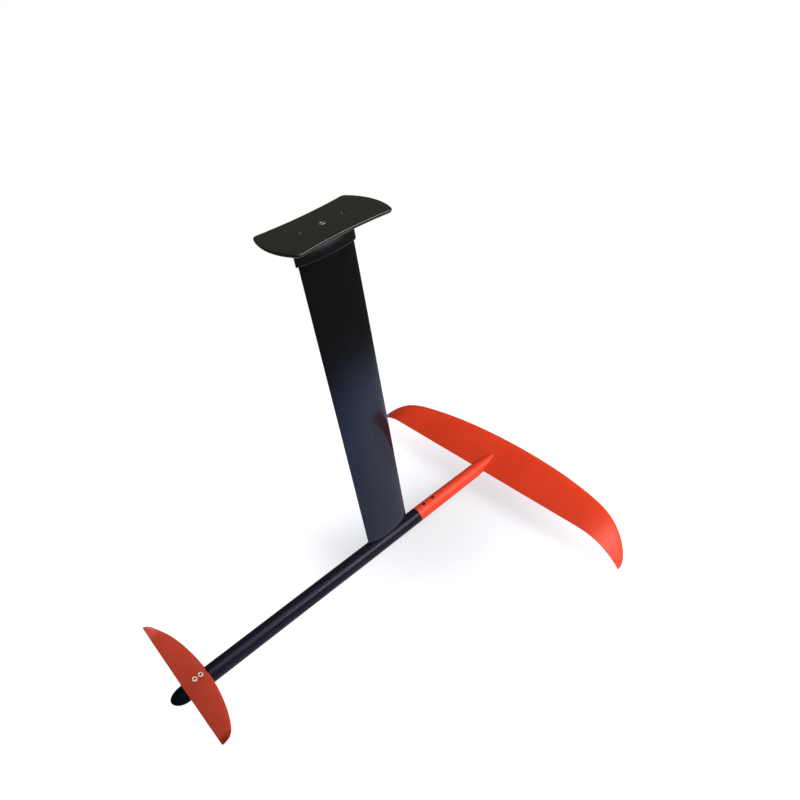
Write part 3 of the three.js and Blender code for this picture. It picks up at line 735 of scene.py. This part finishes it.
def recess(fixing, x):
    """Cutter for a screw's bore and, above its ledge, the wider recess round the head."""
    bore, wide, ledge, top = fixing["bore"], fixing["recess"], AXIS + fixing["ledge"], AXIS + 22.0
    return lathe([(0, AXIS), (bore, AXIS), (bore, ledge), (wide, ledge), (wide, top), (0, top)], 64, x)


def front_wing():
    """Wing moulded in one piece with the tubular stem that slides over the fuselage spigot."""
    start, nose, end = (STEM[k] for k in ("cone_start", "nose_start", "cone_end"))
    radius, cone_radius = STEM["radius"], STEM["cone_radius"]
    rear, socket = FUSELAGE["front"] + GAP, FUSELAGE["spigot"] + GAP
    tube = [(radius + (cone_radius - radius) * f, rear + 0.6 + (start - 1 - rear) * f)
            for f in np.linspace(0.03, 0.99, 26)]
    spear = [(cone_radius - STEM["taper"] * (x - start), x) for x in np.linspace(start, nose, 16)]
    for turn in np.radians(np.arange(3, 91, 3)):
        x = nose + (end - nose) * math.sin(turn)
        spear.append(((cone_radius - STEM["taper"] * (x - start)) * math.cos(turn), x))
    stem = along_fuselage(lathe([
        (0, STEM["socket_end"]), (socket, STEM["socket_end"]), (socket, rear + 0.6),
        (socket + 0.6, rear), (radius - 0.5, rear), (radius - 0.15, rear + 0.15), (radius, rear + 0.5),
        *tube, *spear], 96))
    blade = wing(FRONT_WING, front_wing_rise, front_wing_thickness, 96, 34)
    piece = carve(stem, [blade], "UNION")
    return carve(piece, [recess(STEM_FIXING, x) for _, x in STEM_SCREWS])


def rear_wing():
    """Small blade, thicker over the fuselage seat, recessed for its two cup washers."""
    piece = wing(REAR_WING, rear_wing_rise, rear_wing_thickness, 80, 30)
    return carve(piece, [recess(REAR_FIXING, x) for _, x in REAR_SCREWS])


settle(front_wing(), "front_wing", orange)
settle(rear_wing(), "rear_wing", rear_orange_painted_shade)


# ---- Screws, washers and inserts ----------------------------------------------------------------
for place, x, kind, head_top, length, sleeve in PLATE_SCREWS:
    slot, finish = ("stainless", stainless) if kind is M8 else ("screw_dark", screw_dark)
    settle(screw(kind, length), f"plate_screw_{place}", finish, (x, 0, head_top))
    sleeve_length = HEAD_FIXING["sleeve_length"]
    insert = threaded_sleeve(sleeve, kind["shank"], kind["pitch"], sleeve_length)
    settle(insert, f"mast_head_insert_{place}", brass,
           (x, 0, MAST_HEAD - HEAD_FIXING["cover"] - sleeve_length))

for place, x in FOOT_SCREWS:
    washer_level = AXIS - FUSELAGE["radius"] + FOOT_FIXING["recess"]
    bolt = screw(M8_CAP, FOOT_FIXING["length"])
    bolt.data.transform(Matrix.Rotation(math.pi, 4, "X"))
    washer = flat_washer(FOOT_FIXING["washer"], FOOT_FIXING["washer_bore"],
                         FOOT_FIXING["washer_height"])
    insert = threaded_sleeve(FOOT_FIXING["sleeve"], M8_CAP["shank"], M8_CAP["pitch"],
                             FOOT_FIXING["sleeve_length"])
    settle(bolt, f"foot_screw_{place}", stainless,
           (x, 0, washer_level - GAP - M8_CAP["height"]))
    settle(washer, f"foot_washer_{place}", stainless, (x, 0, washer_level))
    settle(insert, f"mast_foot_insert_{place}", brass,
           (x, 0, MAST_FOOT + FOOT_FIXING["cover"]))

for place, x in STEM_SCREWS:
    bolt = screw(M5, STEM_FIXING["length"])
    insert = threaded_sleeve(STEM_FIXING["sleeve"], M5["shank"], M5["pitch"],
                             STEM_FIXING["sleeve_length"])
    settle(bolt, f"stem_screw_{place}", screw_black,
           (x, 0, AXIS + STEM_FIXING["head_top"]))
    settle(insert, f"stem_insert_{place}", brass,
           (x, 0, AXIS + STEM_FIXING["sleeve_base"]))

for place, x in REAR_SCREWS:
    bolt = screw(M6_COUNTERSUNK, REAR_FIXING["length"], True)
    washer = cup_washer()
    insert = threaded_sleeve(REAR_FIXING["sleeve"], M6["shank"], M6["pitch"],
                             REAR_FIXING["sleeve_length"])
    settle(bolt, f"rear_wing_screw_{place}", cup_steel,
           (x, 0, AXIS + REAR_FIXING["head_top"]))
    settle(washer, f"rear_wing_washer_{place}", cup_steel,
           (x, 0, AXIS + REAR_FIXING["cup_base"]))
    settle(insert, f"rear_wing_insert_{place}", brass,
           (x, 0, AXIS + REAR_FIXING["sleeve_base"]))

# ---- Update the scene ---------------------------------------------------------------------------
bpy.context.view_layer.update()
